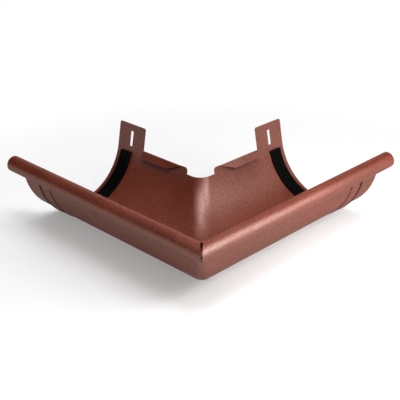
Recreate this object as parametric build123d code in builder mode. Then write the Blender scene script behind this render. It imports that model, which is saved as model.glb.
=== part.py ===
"""External corner of a half-round gutter: a mitred sheet corner with a rolled front bead, two end straps
lapped into its ends and a rubber seal bonded in each strap. Millimetres, Z up, right leg along +X."""
from build123d import *
from math import asin, cos, degrees, radians, sin
import os

os.makedirs("parts", exist_ok=True)

# Sheet and trough
sheet = 0.6
trough_radius = 62.0
rear_lean = 10.7
rear_rise = 2.1

# Rolled bead along the front
bead_radius = 7.9
bead_rise = 3.9
curl_angle = 300.0
bead_overrun = 3.8

# Rounding of the mitre in plan, at the front wall and at the rear wall
front_round = 5.5
rear_round = 13.0
corner_sections = 7

# Slit where the two beads meet
slit_top = 2.1
slit_bottom = 0.5
slit_reach = 2.6

# End straps with their ears
strap_end = 187.2
strap_width = 40.4
strap_sheet = 0.6
ear_rise = 25.8
ear_round = 2.4
slot_width = 4.0
slot_length = 16.4
slot_rise = 2.0
slot_round = 0.4

# Lap of the corner over the straps, joggled at its root and flared at its rim
lap_inset = 24.9
joggle = 1.2
flare_run = 7.0
flare_rise = 0.6
shoulder = 1.2
bond_gap = 0.05
edge_gap = 0.1

# Folded lip along the rear edge
lip_width = 7.7
lip_angle = 30.0
fold_radius = 0.4
lip_corner = 89.8
lip_slant = 17.5

# Notch in the rear wall at the inner corner
notch_side = 80.3
notch_drop = 4.5
notch_round = 3.5

# Rubber seals
seal_inset = 7.0
seal_width = 15.4
seal_base = 1.4
seal_rib = 0.8
seal_ribs = 4
seal_groove = 1.6
seal_rear_angle = 15.2
seal_front_angle = 4.0

# Places that follow from the sizes above
outer_radius = trough_radius + sheet
strap_outer = trough_radius + strap_sheet
lap_radius = strap_outer + bond_gap
lap_outer = lap_radius + sheet
curl_inside = bead_radius - sheet
bead_centre = -(trough_radius + bead_radius)
bead_top = bead_rise + bead_radius
bead_end = strap_end + bead_overrun
front_reach = trough_radius + 2 * bead_radius
strap_start = strap_end - strap_width
joggle_end = strap_start - edge_gap
joggle_start = joggle_end - joggle
lap_end = strap_end - lap_inset
flare_start = lap_end - flare_run
rim_outer = lap_outer + flare_rise
fold_rise = rear_rise - fold_radius - sheet
lip_turn = 180 - lip_angle
round_rate = (rear_round - front_round) / (2 * trough_radius)
mid_round = (rear_round + front_round) / 2
bead_round = mid_round + round_rate * bead_centre
axis = -(bead_end - front_reach) / 2
floor = rim_outer
leg_axis = Axis((axis, axis, floor), (1, 0, 0))
lean_sin = sin(radians(rear_lean))
lean_cos = cos(radians(rear_lean))
notch_depth = trough_radius * lean_sin + notch_drop * lean_cos
rim_height = rear_rise * lean_cos - trough_radius * lean_sin
front_gap = degrees(asin(edge_gap / trough_radius))
overlap = 0.3


def across(place):
    """Section plane of the right leg at a place along it: local X runs to the rear, local Y up."""
    return Plane(origin=(axis + place, axis, floor), x_dir=(0, 1, 0), z_dir=(1, 0, 0))


def rear(radius, rise):
    """Point on the leaning rear wall, a rise above the end of the arc of that radius."""
    return (radius * lean_cos + rise * lean_sin, rise * lean_cos - radius * lean_sin)


def along(angle):
    """Plane through the leg's axis at an angle below the rear: local X along the leg, local Y outwards."""
    outwards = Vector(0, cos(radians(angle)), -sin(radians(angle)))
    return Plane(origin=(axis, axis, floor), x_dir=(1, 0, 0), z_dir=Vector(1, 0, 0).cross(outwards))


def fan(turn):
    """Upright plane of the rounded mitre at a turn from the right leg, and its stretch of the section."""
    back = 1 - sin(radians(turn))
    side = 1 - cos(radians(turn))
    run = Vector(1 + round_rate * back, 1 + round_rate * side, 0)
    centre = (axis + mid_round * back, axis + mid_round * side, floor)
    return Plane(origin=centre, x_dir=run, z_dir=(run.Y, -run.X, 0)), run.length


def mitre_band(stretch):
    """Outline of the stretched sheet, from the notch in the rear wall to the top of the bead."""
    inside = degrees(asin(notch_depth / trough_radius))
    outside = degrees(asin(notch_depth / outer_radius))
    far = stretch * bead_centre
    with BuildLine() as outline:
        low = EllipticalCenterArc((0, 0), stretch * outer_radius, outer_radius,
                                  180, arc_size=180 - outside)
        top = EllipticalCenterArc((0, 0), stretch * trough_radius, trough_radius,
                                  180, arc_size=180 - inside)
        Line(low @ 1, top @ 1)
        hook = EllipticalCenterArc((far, bead_rise), stretch * bead_radius, bead_radius,
                                   0, arc_size=90)
        core = EllipticalCenterArc((far, bead_rise), stretch * curl_inside, curl_inside,
                                   0, arc_size=90)
        Line(hook @ 1, core @ 1)
        Line(top @ 0, hook @ 0)
        Line(low @ 0, core @ 0)
    return outline.edges()


mitre = Plane(origin=(axis, axis, floor), x_dir=(1, 1, 0), z_dir=(1, -1, 0))

# Rear lip of the right leg, cut on a slant towards the corner
with BuildPart() as rear_lip:
    with BuildSketch(across(lip_corner)) as lip_section:
        with BuildLine() as lip_outline:
            centre = rear(trough_radius - fold_radius, fold_rise)
            bend = rear_lean + lip_turn
            inner_bend = CenterArc(centre, fold_radius, -rear_lean, bend)
            outer_bend = CenterArc(centre, fold_radius + sheet, -rear_lean, bend)
            inner_lip = PolarLine(inner_bend @ 1, lip_width, lip_turn + 90)
            outer_lip = PolarLine(outer_bend @ 1, lip_width, lip_turn + 90)
            Line(inner_lip @ 1, outer_lip @ 1)
            Line(inner_bend @ 0, outer_bend @ 0)
        make_face()
    extrude(amount=joggle_start - lip_corner)
    lip_side = cos(radians(lip_turn))
    lip_up = sin(radians(lip_turn))
    edge_run = Vector(lip_slant, -lip_width * lip_up, lip_width * lip_side)
    slant_normal = edge_run.cross(Vector(0, lip_side, lip_up))
    fold_end = across(lip_corner).from_local_coords(outer_bend @ 1)
    split(bisect_by=Plane(origin=fold_end, z_dir=slant_normal), keep=Keep.BOTTOM)

# Outer part of the right leg's bead, mitred square
with BuildPart() as bead_curl:
    with BuildSketch(across(-front_reach)) as curl_section:
        with BuildLine() as curl_outline:
            shell = CenterArc((bead_centre, bead_rise), bead_radius, 90, curl_angle - 90)
            lining = CenterArc((bead_centre, bead_rise), curl_inside, 90, curl_angle - 90)
            Line(shell @ 0, lining @ 0)
            Line(shell @ 1, lining @ 1)
        make_face()
    extrude(amount=front_reach + bead_end)
    split(bisect_by=mitre, keep=Keep.TOP)

# Sheet corner: right leg, its mirror image, the rounded mitre and the slit bead
with BuildPart() as corner_body:
    with BuildSketch(across(-front_reach)) as trough_section:
        with BuildLine() as trough_outline:
            inside = CenterArc((0, 0), trough_radius, 180, 180 - rear_lean)
            outside = CenterArc((0, 0), outer_radius, 180, 180 - rear_lean)
            Polyline(inside @ 1, rear(trough_radius, fold_rise),
                     rear(outer_radius, fold_rise), outside @ 1)
            Line(inside @ 0, outside @ 0)
        make_face()
    extrude(amount=front_reach + joggle_start)
    with BuildSketch(across(-front_reach)) as front_section:
        with BuildLine() as front_outline:
            hook = CenterArc((bead_centre, bead_rise), bead_radius, 0, 90)
            core = CenterArc((bead_centre, bead_rise), curl_inside, 0, 90)
            Line(hook @ 1, core @ 1)
            Polyline(hook @ 0, (-trough_radius, 0), (-outer_radius, 0), core @ 0)
        make_face()
    extrude(amount=front_reach + bead_end)
    split(bisect_by=fan(0)[0], keep=Keep.TOP)
    # Lap over the strap, with the shoulder that closes its joggle under the bead
    with BuildSketch(along(rear_lean)) as lap_section:
        with BuildLine() as lap_outline:
            inside = Polyline((joggle_start, trough_radius), (joggle_end, lap_radius),
                              (flare_start, lap_radius))
            inner_flare = TangentArc(inside @ 1, (lap_end, lap_radius + flare_rise), tangent=(1, 0))
            outside = Polyline((joggle_start, outer_radius), (joggle_end, lap_outer),
                               (flare_start, lap_outer))
            outer_flare = TangentArc(outside @ 1, (lap_end, rim_outer), tangent=(1, 0))
            Line(inner_flare @ 1, outer_flare @ 1)
            Line(inside @ 0, outside @ 0)
        make_face()
    revolve(axis=leg_axis, revolution_arc=rear_lean - 180)
    extrude(lap_section.sketch, amount=fold_rise)
    with BuildSketch(across(joggle_start)) as shoulder_section:
        with Locations((-lap_outer, 0)):
            Rectangle(lap_outer - trough_radius, shoulder, align=(Align.MIN, Align.MIN))
    extrude(amount=flare_start - joggle_start)
    # Plain rim between the lip and the notch
    with BuildSketch(across(notch_side - notch_round)) as rim_section:
        with BuildLine() as rim_outline:
            Polyline(rear(trough_radius, fold_rise), rear(trough_radius, rear_rise),
                     rear(outer_radius, rear_rise), rear(outer_radius, fold_rise), close=True)
        make_face()
    extrude(amount=lip_corner - notch_side + notch_round)
    add(rear_lip.part)
    notch_plane = Plane(origin=(axis, axis, floor), x_dir=(1, 0, 0), z_dir=(0, -1, 0))
    with BuildSketch(notch_plane) as notch_profile:
        with BuildLine() as notch_outline:
            notch_centre = (notch_side + notch_round, rim_height - notch_round)
            notch_arc = CenterArc(notch_centre, notch_round, 180, -90)
            Polyline(notch_arc @ 0, (notch_side, -notch_depth), (0, -notch_depth), (0, bead_top))
            Polyline((0, bead_top), (notch_side + notch_round, bead_top), notch_arc @ 1)
        make_face()
    extrude(amount=-front_reach, mode=Mode.SUBTRACT)
    add(bead_curl.part)
    mirror(about=mitre)
    # Rounded mitre of the trough, from the notch round to the top of the bead
    mitre_faces = []
    for step in range(corner_sections):
        plane, stretch = fan(90 * step / (corner_sections - 1))
        with BuildSketch(plane, mode=Mode.PRIVATE) as mitre_section:
            make_face(mitre_band(stretch))
        mitre_faces.append(mitre_section.sketch.faces()[0])
    loft(mitre_faces)
    # Flat web between the rounded mitre and the square corner of the bead
    bead_corner = axis + bead_centre
    with BuildSketch(Plane(origin=(bead_corner, bead_corner, floor + bead_top))) as web_plan:
        with BuildLine() as web_outline:
            web_arc = CenterArc((bead_round, bead_round), bead_round - overlap, -90, -90)
            Polyline(web_arc @ 1, (0, bead_round), (0, 0), (bead_round, 0), web_arc @ 0)
        make_face()
    extrude(amount=-sheet)
    # Slit between the two beads, wide on top
    slit_start = bead_corner + slit_reach
    slit_origin = (slit_start, slit_start, floor + bead_rise)
    with BuildSketch(Plane(origin=slit_origin, x_dir=(1, -1, 0), z_dir=(-1, -1, 0))) as slit_section:
        with BuildLine() as slit_outline:
            Polyline((-slit_top / 2, bead_radius), (slit_top / 2, bead_radius),
                     (slit_bottom / 2, -bead_radius), (-slit_bottom / 2, -bead_radius), close=True)
        make_face()
    extrude(amount=2 * front_reach, mode=Mode.SUBTRACT)

corner_body.part.label = "corner_body"
export_step(corner_body.part, "parts/corner_body.step")

# Right strap: half-round strip, bevelled to fit the joggle, with a slotted ear at its rear end
with BuildPart() as right_strap:
    with BuildSketch(along(rear_lean)) as strap_section:
        with BuildLine() as strap_outline:
            Polyline((joggle_start + edge_gap, trough_radius), (strap_end, trough_radius),
                     (strap_end, strap_outer), (strap_start, strap_outer), close=True)
        make_face()
    revolve(axis=leg_axis, revolution_arc=rear_lean + front_gap - 180)
    extrude(strap_section.sketch, amount=fold_rise)
    with BuildSketch(along(rear_lean)) as ear_section:
        with Locations((strap_start, trough_radius)):
            Rectangle(strap_width, strap_sheet, align=(Align.MIN, Align.MIN))
    extrude(amount=ear_rise)
    ear_side = Vector(0, lean_cos, -lean_sin)
    across_ear = right_strap.edges().filter_by(Axis((0, 0, 0), ear_side))
    fillet(across_ear.group_by(Axis.Z)[-1], radius=ear_round)
    slot_middle = rear(trough_radius, slot_rise + slot_length / 2)
    slot_centre = across(strap_start + strap_width / 2).from_local_coords(slot_middle)
    with BuildSketch(Plane(origin=slot_centre, x_dir=(1, 0, 0), z_dir=ear_side)) as slot_outline:
        RectangleRounded(slot_width, slot_length, slot_round)
    extrude(amount=2 * strap_sheet, both=True, mode=Mode.SUBTRACT)

right_strap.part.label = "right_strap"
export_step(right_strap.part, "parts/right_strap.step")

# Right seal: ribbed rubber strip round the inside of the strap
with BuildPart() as right_seal:
    seal_outer = trough_radius - bond_gap
    seal_start = strap_end - seal_inset - seal_width
    rib_pitch = (seal_width + seal_groove) / seal_ribs
    with BuildSketch(along(seal_rear_angle)) as seal_section:
        with Locations((seal_start, seal_outer - seal_base)):
            Rectangle(seal_width, seal_base, align=(Align.MIN, Align.MIN))
        for rib in range(seal_ribs):
            with Locations((seal_start + rib * rib_pitch, seal_outer - seal_base)):
                Rectangle(rib_pitch - seal_groove, seal_rib, align=(Align.MIN, Align.MAX))
    revolve(axis=leg_axis, revolution_arc=seal_rear_angle + seal_front_angle - 180)

right_seal.part.label = "right_seal"
export_step(right_seal.part, "parts/right_seal.step")

with BuildPart() as left_strap:
    mirror(right_strap.part, about=mitre)

left_strap.part.label = "left_strap"
export_step(left_strap.part, "parts/left_strap.step")

with BuildPart() as left_seal:
    mirror(right_seal.part, about=mitre)

left_seal.part.label = "left_seal"
export_step(left_seal.part, "parts/left_seal.step")
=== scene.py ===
"""Looks of the gutter corner: grained satin paint, ribbed rubber, a pale floor and soft studio light."""
from math import cos, radians, sin

import bpy
from mathutils import Matrix, Vector

MM = 0.001
HALF_TURN = 180
WHITE = (1, 1, 1, 1)
BLACK = (0, 0, 0, 1)

# The middle of a noise's range, over which tones and gloss run from one end to the other
NOISE_SPAN = (0.35, 0.65)

# Sockets of the Mix node when it mixes colours
MIX_AMOUNT = 0
MIX_UNDER = 6
MIX_OVER = 7
MIX_RESULT = 2

# Camera, in metres and degrees
CAMERA_PLACE = Vector((-0.54419, -0.54386, 0.40010))
CAMERA_YAW = 45.06
CAMERA_PITCH = 25.80
CAMERA_ROLL = -0.63
FIELD_OF_VIEW = 26.42

# Paint: the body's two tones, the gloss of its metal flakes, the slow drift and the fine grain
BODY_DARK = (0.100, 0.0117, 0.0019, 1)
BODY_PALE = (0.124, 0.0147, 0.0024, 1)
FLAKE_DULL = (0.215, 0.152, 0.137, 1)
FLAKE_BRIGHT = (0.475, 0.349, 0.316, 1)
FLAKE_INDEX = 4.0
PAINT_ROUGHNESS = (0.42, 0.50)
DRIFT_SIZE = 55 * MM
DRIFT_DETAIL = 3.0
GRAIN_SIZE = 1.1 * MM
GRAIN_DETAIL = 2.0
GRAIN_HEIGHT = 0.05 * MM
GRAIN_STRENGTH = 0.35

# Worn cut edges: the paler colour, its share, the rounding that finds the edges,
# and the cosines of the normal's turn there between which the wear sets in
BODY_WORN = (0.250, 0.0740, 0.0450, 1)
EDGE_WEAR = 0.6
EDGE_RADIUS = 0.4 * MM
EDGE_SAMPLES = 4
EDGE_SPAN = (0.96, 0.75)

# Painted shade: its colour, and the dark lines of shade painted round the outside of the laps, in the
# corner of the joggle and under the flared rim, each with its start and end along the leg and its
# darkening, up to a height just under the bead
SHADE_COLOUR = (0.020, 0.0028, 0.0010, 1)
SHADE_FLAKES = (0.022, 0.010, 0.008, 1)
SHADE_BANDS = [(88.7 * MM, 90.3 * MM, 0.55), (102.9 * MM, 105.9 * MM, 0.85)]
SHADE_BAND_TOP = 59.5 * MM

# Painted shade in folds and slits, darker where the sheet shuts out light: how near the sheet has to be to
# itself, the two degrees of openness between which the painted shade sets in, and its darkening
HOLLOW_REACH = 16 * MM
HOLLOW_SAMPLES = 8
HOLLOW_SPAN = (0.92, 0.45)
HOLLOW_DARK = 0.8

# Rubber, with streaks that run along the seal
RUBBER_COLOUR = (0.0015, 0.0015, 0.0015, 1)
RUBBER_GLOSS = 0.05
RUBBER_ROUGHNESS = (0.50, 0.65)
STREAK_SIZE = 1.3 * MM
STREAK_DETAIL = 2.0
STREAK_STRETCH = 0.03

# Floor: its side in metres, the share of plain white in it near the part,
# and the distances from the middle, in metres, between which that share rises to the whole
FLOOR_COLOUR = (0.90, 0.90, 0.90, 1)
FLOOR_ROUGHNESS = 0.9
FLOOR_SIDE = 40.0
FLOOR_WHITE = 0.3
WHITE_SPAN = (0.16, 0.38)

# Lamps: name, degrees to the right of the camera, degrees above the floor,
# distance from the point they are aimed at, width and height in metres, watts
LAMP_AIM = Vector((0, 0, 0.03))
LAMPS = [
    ("key", 62, 23, 0.42, 0.20, 0.20, 1.1),
    ("high key", 40, 46, 0.42, 0.20, 0.20, 0.75),
    ("right", 78, 40, 1.6, 0.8, 0.4, 4.5),
    ("low right", 66, 5, 1.6, 0.5, 0.3, 3),
    ("front", 6, 65, 1.6, 0.5, 0.5, 11),
    ("top", 0, 89, 1.6, 0.7, 0.5, 6.5),
    ("left", -50, 55, 1.6, 0.6, 0.5, 3),
    ("back", 180, 28, 1.6, 1.2, 0.4, 3.5),
]


def new_material(name):
    """Material with a Principled shader; returns the material, its node tree and the shader."""
    material = bpy.data.materials.new(name)
    material.use_nodes = True
    tree = material.node_tree
    return material, tree, tree.nodes["Principled BSDF"]


def node(tree, kind, **settings):
    """New node with its properties and unlinked inputs set."""
    made = tree.nodes.new(kind)
    for key, value in settings.items():
        if hasattr(made, key):
            setattr(made, key, value)
        else:
            made.inputs[key.replace("_", " ")].default_value = value
    return made


def noise(tree, size, detail, stretch=(1, 1, 1)):
    """Noise over the object's own coordinates, with features about as large as size, longer where
    stretch is small."""
    place = node(tree, "ShaderNodeTexCoord")
    scaled = node(tree, "ShaderNodeMapping", Scale=stretch)
    made = node(tree, "ShaderNodeTexNoise", Scale=1 / size, Detail=detail)
    tree.links.new(place.outputs["Object"], scaled.inputs["Vector"])
    tree.links.new(scaled.outputs[0], made.inputs["Vector"])
    return made.outputs["Fac"]


def tones(tree, amount, low, high):
    """Colour that runs from low to high with the middle of a noise."""
    ramp = node(tree, "ShaderNodeValToRGB")
    for stop, place, colour in zip(ramp.color_ramp.elements, NOISE_SPAN, (low, high)):
        stop.position = place
        stop.color = colour
    tree.links.new(amount, ramp.inputs["Fac"])
    return ramp.outputs["Color"]


def levels(tree, amount, span, low, high):
    """Number that runs from low to high as the amount runs over the span."""
    made = node(tree, "ShaderNodeMapRange", From_Min=span[0], From_Max=span[1], To_Min=low, To_Max=high)
    tree.links.new(amount, made.inputs["Value"])
    return made.outputs["Result"]


def calculate(tree, operation, *values):
    """Math node over sockets and numbers; returns its result."""
    made = node(tree, "ShaderNodeMath", operation=operation)
    for place, value in zip(made.inputs, values):
        if isinstance(value, bpy.types.NodeSocket):
            tree.links.new(value, place)
        else:
            place.default_value = value
    return made.outputs[0]


def edges(tree):
    """Amount of wear: up to EDGE_WEAR on the cut edges, none on the open sheet."""
    rounded = node(tree, "ShaderNodeBevel", samples=EDGE_SAMPLES, Radius=EDGE_RADIUS)
    plain = node(tree, "ShaderNodeNewGeometry")
    turn = node(tree, "ShaderNodeVectorMath", operation="DOT_PRODUCT")
    tree.links.new(rounded.outputs["Normal"], turn.inputs[0])
    tree.links.new(plain.outputs["Normal"], turn.inputs[1])
    return levels(tree, turn.outputs["Value"], EDGE_SPAN, 0.0, EDGE_WEAR)


def lap_shade(tree):
    """Amount of painted shade: dark lines in the two narrow bands round the laps, below the bead."""
    place = node(tree, "ShaderNodeTexCoord")
    split = node(tree, "ShaderNodeSeparateXYZ")
    tree.links.new(place.outputs["Object"], split.inputs[0])
    along, across, height = split.outputs
    reach = calculate(tree, "MAXIMUM", along, across)
    bands = []
    # Each band is a line of painted shade round the lap.
    for first, last, dark in SHADE_BANDS:
        inside = calculate(tree, "COMPARE", reach, (first + last) / 2, (last - first) / 2)
        bands.append(calculate(tree, "MULTIPLY", inside, dark))
    below = calculate(tree, "LESS_THAN", height, SHADE_BAND_TOP)
    return calculate(tree, "MULTIPLY", calculate(tree, "ADD", *bands), below)


def crease_shade(tree):
    """Amount of painted shade in folds and slits, where the sheet lies close to itself."""
    # Ambient occlusion painted into the colour as shade.
    open_air = node(tree, "ShaderNodeAmbientOcclusion", samples=HOLLOW_SAMPLES, only_local=True)
    open_air.inputs["Distance"].default_value = HOLLOW_REACH
    return levels(tree, open_air.outputs["AO"], HOLLOW_SPAN, 0.0, HOLLOW_DARK)


def over(tree, amount, under, colour):
    """Lays a colour over another by an amount."""
    mix = node(tree, "ShaderNodeMix", data_type="RGBA")
    mix.inputs[MIX_OVER].default_value = colour
    tree.links.new(amount, mix.inputs[MIX_AMOUNT])
    tree.links.new(under, mix.inputs[MIX_UNDER])
    return mix.outputs[MIX_RESULT]


def paint(name, lapped):
    """Satin paint with metal flakes: grained, drifting a little in tone and gloss, paler on its edges,
    darkened with painted shade in folds and slits and, on a lapped piece, with painted lines of shade
    round the laps."""
    material, tree, shader = new_material(name)
    drift = noise(tree, DRIFT_SIZE, DRIFT_DETAIL)
    grain = noise(tree, GRAIN_SIZE, GRAIN_DETAIL)
    body = over(tree, edges(tree), tones(tree, drift, BODY_DARK, BODY_PALE), BODY_WORN)
    flakes = tones(tree, grain, FLAKE_DULL, FLAKE_BRIGHT)
    painted_shade = [crease_shade(tree)]
    if lapped:
        painted_shade.append(lap_shade(tree))
    # Lays the painted shade over the body colour and the flake gloss.
    for amount in painted_shade:
        body = over(tree, amount, body, SHADE_COLOUR)
        flakes = over(tree, amount, flakes, SHADE_FLAKES)
    bump = node(tree, "ShaderNodeBump", Strength=GRAIN_STRENGTH, Distance=GRAIN_HEIGHT)
    shader.inputs["IOR"].default_value = FLAKE_INDEX
    tree.links.new(body, shader.inputs["Base Color"])
    tree.links.new(flakes, shader.inputs["Specular Tint"])
    tree.links.new(levels(tree, drift, NOISE_SPAN, *PAINT_ROUGHNESS), shader.inputs["Roughness"])
    tree.links.new(grain, bump.inputs["Height"])
    tree.links.new(bump.outputs["Normal"], shader.inputs["Normal"])
    return material


def rubber(name, stretch):
    """Black rubber with faint streaks along the seal."""
    material, tree, shader = new_material(name)
    shader.inputs["Base Color"].default_value = RUBBER_COLOUR
    shader.inputs["Specular IOR Level"].default_value = RUBBER_GLOSS
    streaks = noise(tree, STREAK_SIZE, STREAK_DETAIL, stretch)
    tree.links.new(levels(tree, streaks, NOISE_SPAN, *RUBBER_ROUGHNESS), shader.inputs["Roughness"])
    return material


def white_to_the_camera(tree, surface):
    """Mixes white into what the camera, reflections and glass see of the floor, more of it further out."""
    place = node(tree, "ShaderNodeTexCoord")
    distance = node(tree, "ShaderNodeVectorMath", operation="LENGTH")
    tree.links.new(place.outputs["Object"], distance.inputs[0])
    share = levels(tree, distance.outputs["Value"], WHITE_SPAN, FLOOR_WHITE, 1.0)
    path = node(tree, "ShaderNodeLightPath").outputs
    seen = calculate(tree, "MAXIMUM", path["Is Camera Ray"], path["Is Glossy Ray"])
    seen = calculate(tree, "MAXIMUM", seen, path["Is Transmission Ray"])
    white = node(tree, "ShaderNodeEmission", Color=WHITE, Strength=1.0)
    mix = node(tree, "ShaderNodeMixShader")
    tree.links.new(calculate(tree, "MULTIPLY", seen, share), mix.inputs["Fac"])
    tree.links.new(surface, mix.inputs[1])
    tree.links.new(white.outputs[0], mix.inputs[2])
    return mix.outputs[0]


def floor():
    """Pale floor under the part, which keeps its shadow."""
    bpy.ops.mesh.primitive_plane_add(size=FLOOR_SIDE)
    made = bpy.context.object
    made.name = "floor"
    material, tree, shader = new_material("pale_floor")
    shader.inputs["Base Color"].default_value = FLOOR_COLOUR
    shader.inputs["Roughness"].default_value = FLOOR_ROUGHNESS
    shader.inputs["Specular IOR Level"].default_value = 0.0
    surface = white_to_the_camera(tree, shader.outputs[0])
    tree.links.new(surface, tree.nodes["Material Output"].inputs["Surface"])
    made.data.materials.append(material)


def surroundings():
    """Dark world: the lamps and the floor alone light the part."""
    world = bpy.data.worlds.new("studio")
    world.use_nodes = True
    world.node_tree.nodes["Background"].inputs["Color"].default_value = BLACK
    bpy.context.scene.world = world


def lamp(name, turn, rise, distance, width, height, watts):
    """Soft oblong lamp aimed at the middle of the part."""
    data = bpy.data.lights.new(name, "AREA")
    data.shape = "RECTANGLE"
    data.size = width
    data.size_y = height
    data.energy = watts
    heading = radians(CAMERA_YAW + HALF_TURN + turn)
    lift = radians(rise)
    back = Vector((cos(heading) * cos(lift), sin(heading) * cos(lift), sin(lift)))
    made = bpy.data.objects.new(name, data)
    made.location = LAMP_AIM + distance * back
    made.rotation_mode = "QUATERNION"
    made.rotation_quaternion = (-back).to_track_quat("-Z", "Y")
    bpy.context.scene.collection.objects.link(made)


def camera():
    """Camera at the viewing angle, from its place, heading, dip and roll."""
    yaw, pitch, roll = (radians(angle) for angle in (CAMERA_YAW, CAMERA_PITCH, CAMERA_ROLL))
    ahead = Vector((cos(pitch) * cos(yaw), cos(pitch) * sin(yaw), -sin(pitch)))
    level = ahead.cross(Vector((0, 0, 1))).normalized()
    upright = level.cross(ahead)
    right = cos(roll) * level + sin(roll) * upright
    top = cos(roll) * upright - sin(roll) * level
    data = bpy.data.cameras.new("camera")
    data.angle = radians(FIELD_OF_VIEW)
    made = bpy.data.objects.new("camera", data)
    turn = Matrix((right, top, -ahead)).transposed().to_4x4()
    made.matrix_world = Matrix.Translation(CAMERA_PLACE) @ turn
    bpy.context.scene.collection.objects.link(made)
    bpy.context.scene.camera = made


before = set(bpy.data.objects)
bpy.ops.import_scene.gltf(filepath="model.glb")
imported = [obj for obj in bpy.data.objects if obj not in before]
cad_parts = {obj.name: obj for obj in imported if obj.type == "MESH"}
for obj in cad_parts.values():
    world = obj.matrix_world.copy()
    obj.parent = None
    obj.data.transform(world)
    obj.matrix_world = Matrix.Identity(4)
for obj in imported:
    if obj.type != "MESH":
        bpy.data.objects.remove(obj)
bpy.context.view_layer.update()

coat = paint("strap_paint", False)
finishes = {
    "corner_body": paint("corner_paint", True),
    "right_seal": rubber("right_rubber", (1, STREAK_STRETCH, STREAK_STRETCH)),
    "left_seal": rubber("left_rubber", (STREAK_STRETCH, 1, STREAK_STRETCH)),
}
for name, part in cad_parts.items():
    part.data.materials[0] = finishes.get(name, coat)

floor()
surroundings()
for spec in LAMPS:
    lamp(*spec)
camera()
bpy.context.scene.view_settings.view_transform = "Standard"
